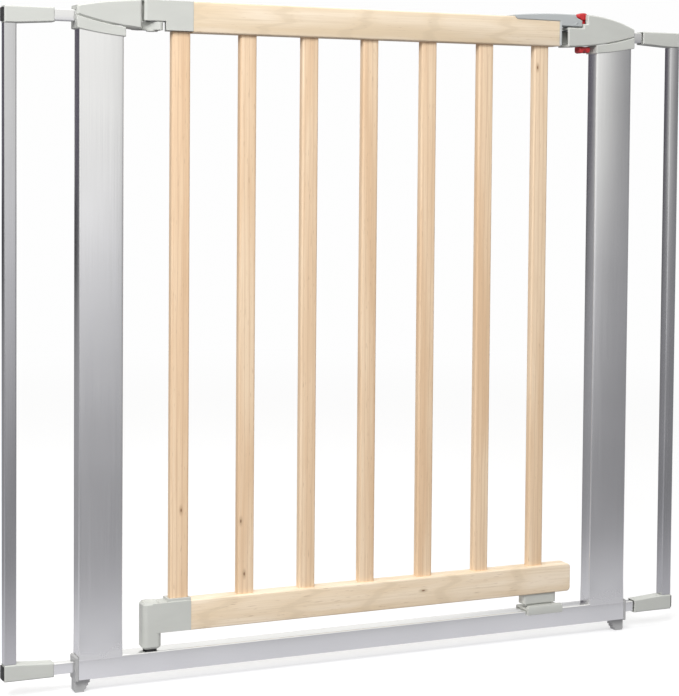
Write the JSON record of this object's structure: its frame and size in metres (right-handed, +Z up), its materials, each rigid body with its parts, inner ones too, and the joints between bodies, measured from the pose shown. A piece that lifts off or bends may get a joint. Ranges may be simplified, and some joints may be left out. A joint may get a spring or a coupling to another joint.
{
  "type": "safety baby gate",
  "caption": "Doorway safety gate with a wooden slatted door that lifts and swings in a metal frame, a two-finger catch and sliding wall frames.",
  "frame": {"origin": "on the floor, under the centre of the gate's bounding box, with both wall frames as far out as pictured", "axes": "+X along the gate from the hinge side to the latch side, -Y towards the front, +Z up"},
  "size_m": [0.8786, 0.0304, 0.7836],
  "materials": {
    "aluminium": "satin, lengthwise grain",
    "grey_plastic": "fine moulded texture",
    "wood": "pale clear-lacquered hardwood",
    "red_plastic": "smooth moulded",
    "steel": "plain",
    "rubber": "matt"
  },
  "bodies": {
    "frame": {"left_post": "aluminium", "right_post": "aluminium", "threshold": "aluminium", "left_end_cap": "grey_plastic", "right_end_cap": "grey_plastic", "left_post_collar": "grey_plastic", "right_post_collar": "grey_plastic", "left_bracket_cover": "grey_plastic", "right_bracket_cover": "grey_plastic", "saddle_clip": "grey_plastic", "pivot_washer": "rubber", "catch_pivot_pin": "steel", "left_upper_arm_screw": "steel", "left_lower_arm_screw": "steel", "right_upper_arm_screw": "steel", "right_lower_arm_screw": "steel"},
    "hinge_pins": {"top_hinge_pin": "steel", "bottom_hinge_pin": "steel"},
    "door": {"slat_1": "wood", "slat_2": "wood", "slat_3": "wood", "slat_4": "wood", "slat_5": "wood", "slat_6": "wood", "slat_7": "wood", "top_rail": "wood", "bottom_rail": "wood", "top_hinge_corner": "grey_plastic", "bottom_hinge_corner": "grey_plastic", "latch_handle": "grey_plastic", "bottom_catch_block": "grey_plastic", "top_corner_screw": "steel", "bottom_corner_screw": "steel", "handle_screw": "steel", "block_screw_1": "steel", "block_screw_2": "steel"},
    "catch": {"thumb_catch": "red_plastic"},
    "trigger": {"finger_trigger": "red_plastic", "trigger_spring": "steel"},
    "left_wall_frame": {"left_wall_tube": "aluminium", "left_upper_corner": "grey_plastic", "left_upper_arm": "aluminium", "left_upper_wall_pad": "rubber", "left_lower_corner": "grey_plastic", "left_lower_arm": "aluminium", "left_lower_wall_pad": "rubber"},
    "right_wall_frame": {"right_wall_tube": "aluminium", "right_upper_corner": "grey_plastic", "right_upper_arm": "aluminium", "right_upper_wall_pad": "rubber", "right_lower_corner": "grey_plastic", "right_lower_arm": "aluminium", "right_lower_wall_pad": "rubber"}
  },
  "joints": [
    {"name": "door_swing", "type": "hinge", "parent": "frame", "child": "hinge_pins", "pos_m": [-0.268, -0.001, 0.4], "axis": [0, 0, 1], "range_deg": [0, 95]},
    {"name": "door_lift", "type": "slide", "parent": "hinge_pins", "child": "door", "axis": [0, 0, 1], "range_m": [0, 0.006]},
    {"name": "trigger_press", "type": "slide", "parent": "frame", "child": "trigger", "axis": [0, 0, 1], "range_m": [0, 0.003], "stiffness_N_per_m": 400, "springref_m": -0.002, "deforming": ["trigger_spring"]},
    {"name": "catch_tilt", "type": "hinge", "parent": "frame", "child": "catch", "pos_m": [0.304, -0.001, 0.752], "axis": [0, 1, 0], "range_deg": [0, 12.5]},
    {"name": "left_extension", "type": "slide", "parent": "frame", "child": "left_wall_frame", "axis": [-1, 0, 0], "range_m": [-0.022, 0.015]},
    {"name": "right_extension", "type": "slide", "parent": "frame", "child": "right_wall_frame", "axis": [1, 0, 0], "range_m": [-0.014, 0.023]}
  ],
  "couplings": [
    {"joint": "catch_tilt", "follows": "trigger_press", "rad_per_m": 71.4}
  ]
}
